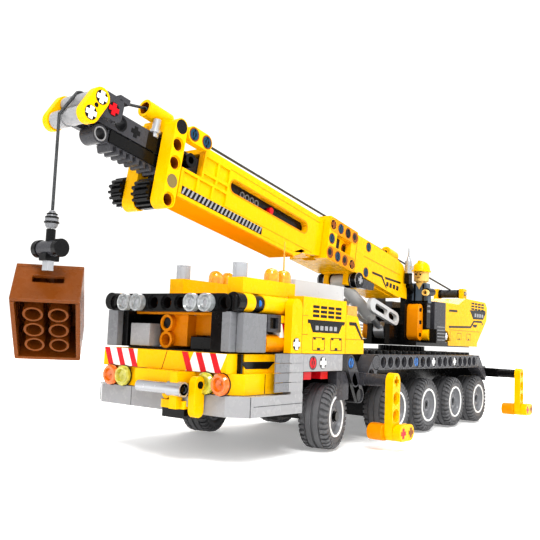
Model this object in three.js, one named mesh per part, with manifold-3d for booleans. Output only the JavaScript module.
// Toy crane truck on a building-toy grid: five-axle chassis with steered front wheels, slewing upper
// works, luffing and telescoping boom, strut, winch, hook with a hanging load, and four outriggers.
// Millimetres. X is lateral (+X is the truck's left), the cab faces -Y, +Z is up, tyres stand on Z = 0.
import * as THREE from 'three';
import { mergeVertices } from 'three/addons/utils/BufferGeometryUtils.js';
import Module from 'manifold-3d';

const wasm = await Module();
wasm.setup();

// ---- driving dimensions ----
const M = 8;                      // grid module
const PLAY = 0.1;                 // each beam is this much smaller than its grid cell on every side
const HOLE_R = 2.4;               // pin hole radius
const HALF_BEAM = M / 2 - PLAY;   // half thickness of a beam

const TYRE_R = 15.2;              // tyre radius to the flat of the tread
const TYRE_W = 14;
const SEAT_R = 9;                 // rim seat radius
const RIM_GAP = 0.15;
const WHEEL_X = 36.5;             // middle of each tyre from the centre plane
const AXLE_YS = [27, 67, 107, 147];
const AXLE_R = 2.3;
const STEER_Y = -37;
const STEER_TURN = THREE.MathUtils.degToRad(11.6);
const KINGPIN_R = 1.4;
const STUB_R = 1.6;
const TONGUE_R = 2;               // half width of the steering tongue inside each front rim

const RAIL_X = 40;                // middle of each side rail
const RAIL_Z = 40;
const RAIL_HOLES = 19;
const SPINE_X = 14;
const SPINE_Z = [20, 36];
const DECK_Z = [40.2, 43.9];
const FRONT_Y = -108;             // face of the front bumper
const REAR_Y = 186;

const LEG_Z = 32;                 // outrigger beam height
const LEG_FACE = 62;              // outer face of the outrigger leg
const LEG_YS = { front: -13, rear: 179 };

const SLEW_Y = 118;               // turntable axis
const SLEW_R = 15.4;
const HALF_UPPER = 20;            // half width of the upper works

const WINCH = { y: 201, z: 89.5 };   // axis of the winch drum
const LUFF = { y: 104, z: 86 };   // boom pivot
const BOOM_ANGLE = THREE.MathUtils.degToRad(9.66);
const BOOM_HALF = 12;
const STRUT_TOP = { u: 67.5, v: -13 };
const STRUT_FOOT = { y: 90, z: 58 };
const TIP_LOW = { u: 269.4, v: -2.6 };
const TIP_HIGH = { u: 266.1, v: 5 };
const ROPE_R = 0.6;
const ROPE_END_Z = 93;
const HOOK_TURN_Z = 86;            // the clip turns under the rope's ball here
const LOAD_TILT = THREE.MathUtils.degToRad(43);
const LOAD_HEADING = THREE.MathUtils.degToRad(-42);   // the way the hung box faces, from +X

const COLOURS = {
  yellow: [0xf4c400, 0.35, 0], black: [0x151515, 0.4, 0], dark: [0x55565a, 0.4, 0],
  light: [0xb4b6b8, 0.4, 0], silver: [0xd0d2d6, 0.25, 0.3], white: [0xeeeeea, 0.35, 0],
  amber: [0xf08a1e, 0.15, 0], clear: [0xe6e08a, 0.12, 0], tyre: [0x6f7074, 0.7, 0],
  brown: [0x8a5420, 0.45, 0], rope: [0x2a2a2a, 0.8, 0], cloth: [0x5d7792, 0.5, 0],
};

// ---- solids ----
function solid(geometry) {
  const bare = geometry.clone();
  bare.deleteAttribute('normal');
  bare.deleteAttribute('uv');
  const merged = mergeVertices(bare, 1e-4);
  const vertProperties = new Float32Array(merged.attributes.position.array);
  const triVerts = new Uint32Array(merged.index.array);
  return new wasm.Manifold(new wasm.Mesh({ numProp: 3, vertProperties, triVerts }));
}

function geometryOf(body) {
  const mesh = body.getMesh();
  const geometry = new THREE.BufferGeometry();
  geometry.setAttribute('position', new THREE.BufferAttribute(mesh.vertProperties, 3));
  geometry.setIndex(new THREE.BufferAttribute(mesh.triVerts, 1));
  geometry.computeVertexNormals();
  return geometry;
}

const join = (...bodies) => bodies.flat().reduce((whole, body) => whole.add(body));
const cut = (body, ...tools) => tools.flat().reduce((whole, tool) => whole.subtract(tool), body);

function block([x0, x1], [y0, y1], [z0, z1]) {
  const box = new THREE.BoxGeometry(x1 - x0, y1 - y0, z1 - z0);
  box.translate((x0 + x1) / 2, (y0 + y1) / 2, (z0 + z1) / 2);
  return solid(box);
}

function extrude(shape, from, to, basis, curveSegments = 6) {
  const geometry = new THREE.ExtrudeGeometry(shape, { depth: to - from, bevelEnabled: false, curveSegments });
  geometry.translate(0, 0, from);
  if (basis) geometry.applyMatrix4(basis);
  return solid(geometry);
}

const ALONG_X = new THREE.Matrix4().makeBasis(
  new THREE.Vector3(0, 1, 0), new THREE.Vector3(0, 0, 1), new THREE.Vector3(1, 0, 0));
const outline = (points) => new THREE.Shape(points.map(([a, b]) => new THREE.Vector2(a, b)));

// A side view given as [y, z] points, as thick as the x range.
const slabX = (points, [x0, x1]) => extrude(outline(points), x0, x1, ALONG_X);
// A plan view given as [x, y] points, as thick as the z range.
const slabZ = (points, [z0, z1]) => extrude(outline(points), z0, z1);

function rodX(y, z, radius, [x0, x1], sides = 12) {
  const rod = new THREE.CylinderGeometry(radius, radius, x1 - x0, sides);
  rod.rotateZ(Math.PI / 2);
  rod.translate((x0 + x1) / 2, y, z);
  return solid(rod);
}

function rodY(x, z, radius, [y0, y1], sides = 12) {
  const rod = new THREE.CylinderGeometry(radius, radius, y1 - y0, sides);
  rod.translate(x, (y0 + y1) / 2, z);
  return solid(rod);
}

function rodZ(x, y, radius, [z0, z1], sides = 12) {
  const rod = new THREE.CylinderGeometry(radius, radius, z1 - z0, sides);
  rod.rotateX(Math.PI / 2);
  rod.translate(x, y, (z0 + z1) / 2);
  return solid(rod);
}

// A round-ended arm in the YZ plane between two [y, z] hole centres.
function arm([y0, z0], [y1, z1], radius, xRange) {
  const turn = Math.atan2(z1 - z0, y1 - y0);
  const shape = new THREE.Shape();
  shape.absarc(y1, z1, radius, turn - Math.PI / 2, turn + Math.PI / 2, false);
  shape.absarc(y0, z0, radius, turn + Math.PI / 2, turn + Math.PI * 1.5, false);
  return extrude(shape, ...xRange, ALONG_X);
}

// A straight run of rope in the centre plane between two [y, z] points.
function strand([y0, z0], [y1, z1]) {
  const path = new THREE.LineCurve3(new THREE.Vector3(0, y0, z0), new THREE.Vector3(0, y1, z1));
  const section = new THREE.Shape().absarc(0, 0, ROPE_R, 0, Math.PI * 2, false);
  const options = { extrudePath: path, steps: 1, bevelEnabled: false, curveSegments: 8 };
  return solid(new THREE.ExtrudeGeometry(section, options));
}

// A solid of revolution about the X axis; the profile is [x, radius] points that close on themselves.
function turned(profile, sides) {
  const points = profile.map(([along, radius]) => new THREE.Vector2(radius, along));
  if (THREE.ShapeUtils.isClockWise(points)) points.reverse();
  points.push(points[0].clone());
  const lathe = new THREE.LatheGeometry(points, sides);
  lathe.rotateY(Math.PI / sides);
  lathe.rotateZ(-Math.PI / 2);
  return solid(lathe);
}

const mirrored = ([a, b]) => [-b, -a];
const onSide = (side, range) => (side > 0 ? range : mirrored(range));
const SIDES = [['left', 1], ['right', -1]];

// ---- scene graph ----
const model = new THREE.Group();
const hanging = [];

function part(name, body, colour, parent = model) {
  const [color, roughness, metalness] = COLOURS[colour];
  const material = new THREE.MeshStandardMaterial({ color, roughness, metalness });
  const mesh = new THREE.Mesh(geometryOf(body), material);
  mesh.name = name;
  parent.add(mesh);
  return mesh;
}

// ---- wheels ----
const WHEEL_SIDES = 16;
const facetR = (radius) => radius / Math.cos(Math.PI / WHEEL_SIDES);

function tyre() {
  const half = TYRE_W / 2;
  const profile = [
    [-half + 1.5, facetR(SEAT_R + RIM_GAP)], [half - 1.5, facetR(SEAT_R + RIM_GAP)], [half, TYRE_R - 3.2],
    [half - 1.8, facetR(TYRE_R)], [-half + 1.8, facetR(TYRE_R)], [-half, TYRE_R - 3.2],
  ];
  return turned(profile, WHEEL_SIDES);
}

// The rim opens towards the truck; its web is on the outer side.
function rim(side, boreR) {
  const half = TYRE_W / 2;
  const web = [half - 3.5, half - 1];
  const profile = [
    [-half + 1, SEAT_R], [-half + 1, SEAT_R - 1.5], [web[0], SEAT_R - 1.5], [web[0], boreR],
    [web[1], boreR], [web[1], SEAT_R],
  ];
  return turned(profile.map(([x, r]) => [side * x, r]), WHEEL_SIDES);
}

function addRigidAxle(y, index) {
  const group = new THREE.Group();
  group.position.set(0, y, TYRE_R);
  model.add(group);
  const rims = SIDES.map(([, side]) => rim(side, AXLE_R - 0.3).translate([side * WHEEL_X, 0, 0]));
  const shaft = rodX(0, 0, AXLE_R, [-WHEEL_X - 6, WHEEL_X + 6]);
  part(`axle_${index}_rims`, join(shaft, rims), 'dark', group);
  for (const [label, side] of SIDES) {
    part(`tyre_${index}_${label}`, tyre(), 'tyre', group).position.x = side * WHEEL_X;
  }
}

function addSteeredWheel(label, side) {
  const group = new THREE.Group();
  group.position.set(side * WHEEL_X, STEER_Y, TYRE_R);
  group.rotation.z = STEER_TURN;
  model.add(group);
  const ears = [-1, 1].map((up) => block(onSide(side, [-3.5, 3.2]), [-3, 3], up > 0 ? [2.9, 5] : [-5, -2.9]));
  const back = block(onSide(side, [TONGUE_R + 0.2, 3.2]), [-3, 3], [-5, 5]);
  const pin = rodZ(0, 0, KINGPIN_R, [-4, 4]);
  const stub = rodX(0, 0, STUB_R, onSide(side, [2.5, 6.4]));
  const head = rodX(0, 0, STUB_R + 0.8, onSide(side, [6.2, 6.9]));
  part(`knuckle_${label}`, join(ears, back, pin, stub, head), 'black', group);
  part(`front_rim_${label}`, rim(side, STUB_R + 0.15), 'dark', group);
  part(`front_tyre_${label}`, tyre(), 'tyre', group);
}

// ---- chassis ----
function axleBearings() {
  return AXLE_YS.flatMap((y) => SIDES.map(([, side]) =>
    cut(block(onSide(side, [10, 27]), [y - 5, y + 5], [10, SPINE_Z[0] + 1]),
      rodX(y, TYRE_R, AXLE_R + 0.25, onSide(side, [9, 28])))));
}

function steeringBeam() {
  const tongues = SIDES.map(([, side]) => cut(
    join(block(onSide(side, [SPINE_X - 1, WHEEL_X]), [STEER_Y - TONGUE_R, STEER_Y + TONGUE_R], [TYRE_R - 2.6, TYRE_R + 2.6]),
      rodZ(side * WHEEL_X, STEER_Y, TONGUE_R, [TYRE_R - 2.6, TYRE_R + 2.6])),
    rodZ(side * WHEEL_X, STEER_Y, KINGPIN_R + 0.15, [TYRE_R - 4, TYRE_R + 4])));
  return join(tongues, block([-SPINE_X, SPINE_X], [STEER_Y - 5, STEER_Y + 5], [TYRE_R - 4, SPINE_Z[0] + 1]));
}

function sideBrick(side) {
  const brick = block(onSide(side, [30, RAIL_X + HALF_BEAM]), [-64.9, -33], [36.1, 43.9]);
  const tie = block(onSide(side, [SPINE_X - 1, 31]), [-62, -56], [30, 40]);
  return join(brick, tie);
}

function fender(side) {
  const x = onSide(side, [RAIL_X - 2, RAIL_X + HALF_BEAM]);
  return join(arm([-36.5, 40], [-28, 40], HALF_BEAM, x), arm([-28, 40], [-18.6, 24], HALF_BEAM - 0.4, x));
}

function addChassis() {
  const spine = block([-SPINE_X, SPINE_X], [-89.8, REAR_Y], SPINE_Z);
  const deck = block([-35.9, 35.9], [-60, 156], DECK_Z);
  const keel = block([-SPINE_X, SPINE_X], [-60, 156], [SPINE_Z[1] - 0.3, DECK_Z[0] + 0.3]);
  const cabFloor = block([-26.9, 26.9], [-101, -59], [SPINE_Z[1] - 0.3, 43.9]);
  const housings = Object.values(LEG_YS).map((y) => block([-34, 34], [y - 7, y + 7], [26, 36]));
  const tunnels = Object.values(LEG_YS).map((y) => block([-35, 35], [y - 3.2, y + 3.2], [LEG_Z - 3.2, LEG_Z + 3.2]));
  const bricks = SIDES.map(([, side]) => join(sideBrick(side), fender(side)));
  const frame = join(spine, deck, keel, cabFloor, housings, axleBearings(), steeringBeam(), bricks);
  part('chassis_frame', cut(frame, tunnels), 'black');

  const last = (RAIL_HOLES - 1) * M;
  for (const [label, side] of SIDES) {
    const x = [RAIL_X - HALF_BEAM, RAIL_X + HALF_BEAM];
    const beam = join(arm([0, RAIL_Z], [last, RAIL_Z], HALF_BEAM, onSide(side, x)),
      arm([0, RAIL_Z], [-0.6 * M, RAIL_Z - 0.8 * M], HALF_BEAM, onSide(side, x)),
      arm([last, RAIL_Z], [last + 1.4 * M, RAIL_Z - 1.3 * M], HALF_BEAM, onSide(side, x)));
    const arch = rodX(AXLE_YS[3], TYRE_R, TYRE_R + 1.2, onSide(side, [x[0] - 1, x[1] + 1]), 24);
    const holes = Array.from({ length: RAIL_HOLES }, (_, i) =>
      rodX(i * M, RAIL_Z, HOLE_R, onSide(side, [x[0] - 1, x[1] + 1]), 6));
    part(`rail_${label}`, cut(beam, arch, holes), 'dark');
  }
  const ring = rodZ(0, SLEW_Y, SLEW_R, [44, 48.4], 24);
  part('turntable_base', ring, 'black');
}

// ---- cab ----
function addNose() {
  const back = -66;
  const bumper = slabZ([[-36, FRONT_Y], [36, FRONT_Y], [44, FRONT_Y + 6], [44, back], [30, back], [30, -90],
    [-30, -90], [-30, back], [-44, back], [-44, FRONT_Y + 6]], [18.8, 27]);
  const towBlock = block([8, 22], [FRONT_Y - 6, FRONT_Y + 1], [22, 26]);
  const steps = SIDES.map(([, side]) => block(onSide(side, [30, 43.9]), [-74.9, -66.2], [26.9, 43.9]));
  part('bumper', join(bumper, towBlock, steps), 'light');

  const lampRow = slabZ([[-34, FRONT_Y + 1], [34, FRONT_Y + 1], [39.9, FRONT_Y + 7], [39.9, -75.1],
    [28, -75.1], [28, -96], [-28, -96], [-28, -75.1], [-39.9, -75.1], [-39.9, FRONT_Y + 7]], [27.2, 35.5]);
  const band = block([-36, 36], [FRONT_Y, FRONT_Y + 6.5], [35.4, 43.3]);
  const cheeks = SIDES.map(([, side]) => block(onSide(side, [27.1, 37.9]), [-99.5, -75.1], [35.4, 43.3]));
  const bar = block([-9, 19.5], [FRONT_Y - 6, FRONT_Y + 2], [31, 35.4]);
  const towHook = slabX([[FRONT_Y + 2, 35.4], [FRONT_Y - 10, 35.4], [FRONT_Y - 10, 21], [FRONT_Y - 6.5, 21],
    [FRONT_Y - 6.5, 31], [FRONT_Y + 2, 31]], [15.6, 19.5]);
  part('hood', join(lampRow, band, cheeks, bar, towHook), 'yellow');

  for (const [label, side] of SIDES) {
    const lamps = [24, 31.8].map((x) => rodY(side * x, 31.3, 4.2, [FRONT_Y - 1.5, FRONT_Y - 0.1]));
    part(`lamp_pair_${label}`, join(lamps), 'amber');
  }
  part('tow_bar', rodX(FRONT_Y - 8.4, 28.7, 2.2, [-18, 15.3]), 'silver');
}

function addCab() {
  const roofZ = 60;
  const floorZ = 44;
  const pillars = [
    block([-36, -29], [FRONT_Y + 0.5, FRONT_Y + 7], [floorZ, roofZ]),
    block([29, 37], [FRONT_Y + 0.5, FRONT_Y + 7], [floorZ, roofZ]),
  ];
  const doors = SIDES.map(([, side]) => block(onSide(side, [36, 39.9]), [-103.5, -79.2], [floorZ, roofZ]));
  const sills = SIDES.map(([, side]) => block(onSide(side, [29, 37]), [-101.2, -95], [floorZ, roofZ]));
  const rearWall = block([-36, 36], [-83, -79.2], [floorZ, roofZ]);
  const seat = block([-4, 14], [-92, -82.9], [floorZ, 56]);
  const roof = block([-36, 36], [-101, -68.2], [roofZ - 0.1, 63.9]);
  const rows = SIDES.map(([, side]) => rodY(side * 36, 64, 3.9, [-101, -68.2]));
  part('cab_frame', join(pillars, doors, sills, rearWall, seat, roof, rows), 'dark');

  const barX = 4.5 * M - PLAY;
  const bar = block([-barX, barX], [FRONT_Y + 1, FRONT_Y + 6.9], [60.1, 66.8]);
  const lights = [-3, -2, 2, 3].map((i) => rodY(i * M, 63.4, 3.8, [FRONT_Y - 2, FRONT_Y + 1.5]));
  part('light_bar', join(bar, lights), 'black');

  // The roof blocks stand on one base plate; each carries an exhaust stack and two beacons.
  const base = block([-8, 36], [-99, -64], [64, 67.4]);
  const groups = [['left', 32, -96], ['mid', -4, -93]];
  const blocks = groups.map(([, x, y]) => block([x - 4, x + 4], [y - 4, y + 33], [67.3, 74.4]));
  const rowSpace = SIDES.map(([, side]) => rodY(side * 36, 64, 4.1, [-102, -63]));
  part('cab_roof', cut(join(base, blocks), rowSpace), 'yellow');
  for (const [label, x, y] of groups) {
    part(`exhaust_${label}`, rodZ(x, y, 3.1, [74.5, 82.4]), 'silver');
    const domes = [y + 18.3, y + 26.6].map((at) => rodZ(x, at, 3.6, [74.8, 80.6], 10));
    const foot = block([x - 3, x + 3], [y + 16, y + 29], [74.5, 75.5]);
    part(`beacon_${label}`, join(domes, foot), 'amber');
  }

  for (const [label, side] of SIDES) {
    const panel = slabX([[-68, 44.1], [-31, 44.1], [-13.5, 44.1], [-13.5, 50], [-20, 62], [-31, 62.5],
      [-31, 68.8], [-68, 68.8]], onSide(side, [36.1, 43.9]));
    const upright = arm([-72, 48], [-72, 63.5], HALF_BEAM, onSide(side, [40.1, 43.9]));
    const foot = block(onSide(side, [40.1, 43.9]), [-75.9, -67.5], [44.1, 50]);
    part(`side_panel_${label}`, join(panel, upright, foot), 'yellow');
  }
  const cover = block([-35.9, 35.9], [-63.9, -16], [44, 60]);
  const screen = join(block([15, 20], [-40, 6.4], [59, 79]), block([15, 20], [-17, 6.4], [44, 79]));
  part('engine_cover', join(cover, screen), 'dark');
}

// ---- upper works ----
function addUpperWorks() {
  const top = [48.8, 52];
  const plate = join(rodZ(0, SLEW_Y, SLEW_R, top, 24), block([-HALF_UPPER + 0.2, HALF_UPPER - 0.2], [98.5, 190], top));
  const cheeks = SIDES.map(([, side]) => join(
    block(onSide(side, [4.6, 8]), [84.5, 95.5], [top[0], STRUT_FOOT.z + 4]),
    block(onSide(side, [4.6, 8]), [94, 110], top)));
  const strutPin = rodX(STRUT_FOOT.y, STRUT_FOOT.z, 1.5, [-5, 5]);
  const ears = SIDES.map(([, side]) => join(
    block(onSide(side, [8.4, 11.8]), [LUFF.y - 6, LUFF.y + 6], [51, LUFF.z]),
    rodX(LUFF.y, LUFF.z, 6, onSide(side, [8.4, 11.8]), 16)));
  const luffPin = rodX(LUFF.y, LUFF.z, 2, [-9, 9]);
  const body = block([-11.5, 11.5], [118, 139.8], [51, 74]);
  const rib = block([-11.5, 11.5], [109.9, 119], [51, 64]);
  const step = block([12, 29], [109, 123.5], [51, 59.9]);
  part('slew_platform', join(plate, cheeks, strutPin, ears, luffPin, body, rib, step), 'black');

  for (const [label, side] of SIDES) {
    part(`support_${label}`, block(onSide(side, [12.1, 19.9]), [100.1, 107.9], [52.1, 75.9]), 'yellow');
  }
  const profile = [[140, 59.5], [149, 59.5], [154, 52.2], [206, 52.2], [226, 70], [227, 80], [223, 84],
    [182, 84.5], [168, 79.2], [140, 79.2]];
  const lugs = SIDES.map(([, side]) =>
    block(onSide(side, [8.7, 11.7]), [WINCH.y - 4, WINCH.y + 4], [83, WINCH.z + 3.5]));
  const winchHoles = rodX(WINCH.y, WINCH.z, 1.7, [-13, 13]);
  part('counterweight', join(slabX(profile, [-HALF_UPPER, HALF_UPPER]), cut(join(lugs), winchHoles)), 'yellow');

  const drum = join(rodX(WINCH.y, WINCH.z, 3.1, [-8.2, 8.2]), rodX(WINCH.y, WINCH.z, 1.5, [-12.4, 12.4]));
  part('winch_drum', drum, 'black');
}

// A plain peg-like operator with a safety helmet, holding a small tool, standing on the left step.
function addOperator() {
  const x = 22;
  const y = 114;
  const legs = block([x - 5.5, x + 5.5], [y - 3, y + 3], [60, 73]);
  const torso = slabX([[y - 3.2, 72.9], [y + 3.2, 72.9], [y + 3.2, 87], [y - 3.2, 87]], [x - 6, x + 6]);
  const arms = SIDES.map(([, side]) => block([x + side * 7.5 - 1.8, x + side * 7.5 + 1.8], [y - 9, y + 2], [77, 83]));
  const neck = rodZ(x, y, 3, [86, 90]);
  const head = rodZ(x, y, 4.8, [88.5, 97]);
  const helmet = join(rodZ(x, y, 5.6, [96.5, 102.5]), block([x - 5.2, x + 5.2], [y - 9, y], [96.5, 98]));
  const tool = rodZ(x - 7.5, y - 8, 1.8, [78, 104]);
  part('operator', join(legs, torso, arms, neck, head, helmet, tool), 'cloth');
}

// ---- boom ----
// Boom solids are drawn level, u forwards from the pivot along -Y and v up, then tilted as one group.
const boom = new THREE.Group();
boom.position.set(0, LUFF.y, LUFF.z);
boom.rotation.x = -BOOM_ANGLE;
model.add(boom);
const slabUV = (points, x) => slabX(points.map(([u, v]) => [-u, v]), x);
const boxUV = (x, [u0, u1], v) => block(x, [-u1, -u0], v);
const pinUV = (u, v, radius, x, sides) => rodX(-u, v, radius, x, sides);

function addBoom() {
  const tail = join(boxUV([-8, 8], [0, 20], [-6, 6]), pinUV(0, 0, 6, [-8, 8], 16));
  const web = boxUV([-8.1, 8.1], [14, 76], [-10, 13]);
  const panels = SIDES.map(([, side]) =>
    slabUV([[13.5, -9.8], [20, 13.6], [73.5, 13.6], [73.5, -8.4]], onSide(side, [8, BOOM_HALF])));
  const frames = SIDES.map(([, side]) => cut(
    boxUV(onSide(side, [4, BOOM_HALF]), [73.4, 104], [-9.2, 14.8]),
    boxUV(onSide(side, [8, 13]), [79.5, 95.5], [-1, 7])));
  const guide = cut(join(boxUV([-3, 3], [5, 17], [5, 18]), boxUV([-3, 3], [13, 20], [5, 12.5]),
    rodY(0, 20.6, 3.6, [-16, -4.5])), rodY(0, 20.6, 1.4, [-17, -3.5], 8));
  const tie = boxUV([-4.1, 4.1], [73.4, 100], [-9.2, 14.8]);
  const fork = join(SIDES.map(([, side]) => boxUV(onSide(side, [5, 8]), [62, 73], [-16, -8])),
    pinUV(STRUT_TOP.u, STRUT_TOP.v, 1.5, [-12, 12]));
  const hole = pinUV(0, 0, 2.3, [-9, 9]);
  const strutSpace = boxUV([-4.9, 4.9], [48, 74], [-11, -8.3]);
  const shell = cut(join(tail, web, panels, frames, tie), strutSpace, hole);
  part('boom_base', join(shell, guide, fork), 'yellow', boom);

  // Mid section: a housing, open along the middle, that the extension slides in.
  const bore = boxUV([-4.35, 4.35], [110, 219], [-8.4, 9.4]);
  const housing = cut(boxUV([-8, 8], [104.3, 216.5], [-15.4, 12.5]), bore);
  const windows = boxUV([-9, 9], [121, 185], [-0.5, 6]);
  part('boom_housing', cut(housing, windows), 'yellow', boom);

  const collarBlock = boxUV([-BOOM_HALF, BOOM_HALF], [216.9, 228], [-23.6, 16]);
  const wings = SIDES.map(([, side]) => boxUV(onSide(side, [8.4, BOOM_HALF]), [204.6, 217.5], [8, 16]));
  const mouth = boxUV([-4.35, 4.35], [216, 229], [-8.4, 9.4]);
  const notch = boxUV([-4.35, 4.35], [216, 229], [-24, -8.3]);
  const ropeGuide = rodY(0, 17.6, 3.8, [-236, -222]);
  const collar = join(cut(join(collarBlock, wings), mouth, notch), ropeGuide);
  const middleGear = pinUV(224.4, -16.4, 6.6, [-4.6, 4.6]);
  const outerGear = pinUV(224.4, -14, 6.4, [-19.5, -11.9]);
  part('boom_collar', join(cut(collar, rodY(0, 17.6, 1.4, [-237, -216], 8)), middleGear, outerGear), 'yellow', boom);
  part('boom_rope', strand([-17, 20.7], [-221, 17.7]), 'rope', boom);
}

function addExtension() {
  const beam = boxUV([-3.9, 3.9], [147, 262], [-1, 8.2]);
  const lower = boxUV([-3.9, 3.9], [147, 262], [-8, -1.1]);
  const teeth = Array.from({ length: 14 }, (_, i) => boxUV([-4, 4], [150 + i * 7.6, 153.4 + i * 7.6], [-9, -5]));
  const rack = cut(join(beam, lower, boxUV([-3.9, 3.9], [147, 262], [-2, 0])), teeth);
  const holes = [[258.5, -3.6], [249, 3.7], [241, 3.7]].map(([u, v]) => pinUV(u, v, HOLE_R, [-5, 5], 10));
  part('boom_extension', cut(rack, holes), 'dark', boom);

  const plate = (x) => extrude((() => {
    const shape = new THREE.Shape();
    const turn = Math.atan2(TIP_HIGH.v - TIP_LOW.v, TIP_LOW.u - TIP_HIGH.u);
    shape.absarc(-TIP_HIGH.u, TIP_HIGH.v, 4.4, turn - Math.PI / 2, turn + Math.PI / 2, false);
    shape.absarc(-TIP_LOW.u, TIP_LOW.v, 4.4, turn + Math.PI / 2, turn + Math.PI * 1.5, false);
    return shape;
  })(), ...x, ALONG_X);
  const plates = SIDES.map(([, side]) => plate(onSide(side, [8.3, BOOM_HALF])));
  const axles = [TIP_LOW, TIP_HIGH].map(({ u, v }) => pinUV(u, v, 1.6, [-9, 9]));
  const bracket = join(SIDES.map(([, side]) => boxUV(onSide(side, [8.3, 11.5]), [252, 266], [2, 8])),
    boxUV([-11.5, 11.5], [252, 257.5], [8.5, 10.8]),
    SIDES.map(([, side]) => boxUV(onSide(side, [8.3, 11.5]), [252, 257.5], [2, 10.8])));
  part('tip_head', join(plates, axles, bracket), 'yellow', boom);

  const roller = ({ u, v }, radius) => cut(pinUV(u, v, radius, [-8, 8], 16), pinUV(u, v, 1.8, [-9, 9]));
  part('tip_roller', roller(TIP_LOW, 3.7), 'white', boom);
}

// ---- strut under the boom ----
function addStrut() {
  const topY = LUFF.y - STRUT_TOP.u * Math.cos(BOOM_ANGLE) + STRUT_TOP.v * Math.sin(BOOM_ANGLE);
  const topZ = LUFF.z + STRUT_TOP.u * Math.sin(BOOM_ANGLE) + STRUT_TOP.v * Math.cos(BOOM_ANGLE);
  const strut = new THREE.Group();
  strut.position.set(0, topY, topZ);
  strut.rotation.x = Math.atan2(STRUT_FOOT.z - topZ, STRUT_FOOT.y - topY);
  model.add(strut);
  const reach = Math.hypot(STRUT_FOOT.z - topZ, STRUT_FOOT.y - topY);
  const barrel = cut(join(rodY(0, 0, 4, [0, 43], 16), rodX(0, 0, 4, [-4.4, 4.4], 16)),
    rodX(0, 0, 1.75, [-5, 5]), rodY(0, 0, 2.4, [6, 44]));
  part('strut_cylinder', barrel, 'light', strut);
  const eye = cut(rodX(reach, 0, 5.8, [-3.8, 3.8], 16), rodX(reach, 0, 4.2, [-5, 5], 12));
  part('strut_rod', join(rodY(0, 0, 2.15, [8, reach - 4.6]), eye), 'silver', strut);
}

// ---- hoist ----
function addHoist() {
  const y = LUFF.y - TIP_LOW.u * Math.cos(BOOM_ANGLE) + TIP_LOW.v * Math.sin(BOOM_ANGLE) - 3.7 - 0.4 - ROPE_R;
  const topZ = LUFF.z + TIP_LOW.u * Math.sin(BOOM_ANGLE) + TIP_LOW.v * Math.cos(BOOM_ANGLE);
  hanging.push(part('hoist_rope', rodZ(0, y, ROPE_R, [ROPE_END_Z, topZ], 8), 'rope'));

  hanging.push(part('hook_ball', rodZ(0, y, 3.6, [HOOK_TURN_Z + 0.3, ROPE_END_Z - 0.3]), 'dark'));
  const neck = rodZ(0, y, 1.8, [80, HOOK_TURN_Z]);
  const clip = rodX(y, 79, 3.4, [-7, 7]);
  const prong = rodZ(0, y, 1.6, [70.6, 79]);
  hanging.push(part('hook_clip', join(neck, clip, prong), 'silver'));

  // The load is an open-bottomed box hung by one end wall; ribs and six tubes fill its underside.
  const [wide, long, high, wall] = [24, 32, 18.5, 1.6];
  const shell = cut(block([-wide / 2, wide / 2], [-long, 0], [0, high]),
    block([-wide / 2 + wall, wide / 2 - wall], [-long + wall, -wall], [-1, high - wall]));
  const slot = block([-5.5, 5.5], [-wall - 1, 1], [9, 12.5]);
  const tubes = [-4.4, 4.4].flatMap((x) => [8, 16, 24].map((down) => cut(
    rodZ(x, -down, 3.6, [0.6, high - 1]), rodZ(x, -down, 2.8, [0, high - wall]))));
  const box = join(cut(shell, slot), tubes);
  const load = part('load_box', box, 'brown');
  load.rotation.set(LOAD_TILT, 0, LOAD_HEADING - Math.PI / 2, 'ZXY');
  load.position.set(5 * Math.cos(LOAD_HEADING), y + 5 * Math.sin(LOAD_HEADING), 60.3);
  hanging.push(load);
}

// ---- outriggers ----
function addOutriggers() {
  for (const [end, y] of Object.entries(LEG_YS)) {
    for (const [label, side] of SIDES) {
      const beam = block(onSide(side, [15, LEG_FACE - 3.9]), [y - 3, y + 3], [LEG_Z - 3, LEG_Z + 3]);
      const holes = [1, 2].map((i) => rodX(y, LEG_Z - i * M, HOLE_R, onSide(side, [LEG_FACE - 5, LEG_FACE + 1]), 8));
      const post = cut(arm([y, LEG_Z - 3 * M], [y, LEG_Z], HALF_BEAM, onSide(side, [LEG_FACE - 4, LEG_FACE])), holes);
      const footZ = LEG_Z - 3 * M;
      const inner = arm([y - 3, footZ], [y, footZ], HALF_BEAM, onSide(side, [LEG_FACE - 12, LEG_FACE - 3.9]));
      const outer = arm([y, footZ], [y + M, footZ], HALF_BEAM, onSide(side, [LEG_FACE - 0.1, LEG_FACE + 4]));
      part(`outrigger_${end}_${label}`, join(beam, post, inner, outer), 'yellow');
    }
  }
}

addChassis();
addNose();
addCab();
AXLE_YS.forEach((y, i) => addRigidAxle(y, i + 2));
SIDES.forEach(([label, side]) => addSteeredWheel(label, side));
addUpperWorks();
addOperator();
addBoom();
addExtension();
addStrut();
addHoist();
addOutriggers();

// The origin is the middle of the standing part's footprint box, at the ground.
model.updateMatrixWorld(true);
const footprint = new THREE.Box3();
model.traverse((item) => {
  if (item.isMesh && !hanging.includes(item)) footprint.expandByObject(item, true);
});
model.position.y = -(footprint.min.y + footprint.max.y) / 2;
model.updateMatrixWorld(true);

export default model;
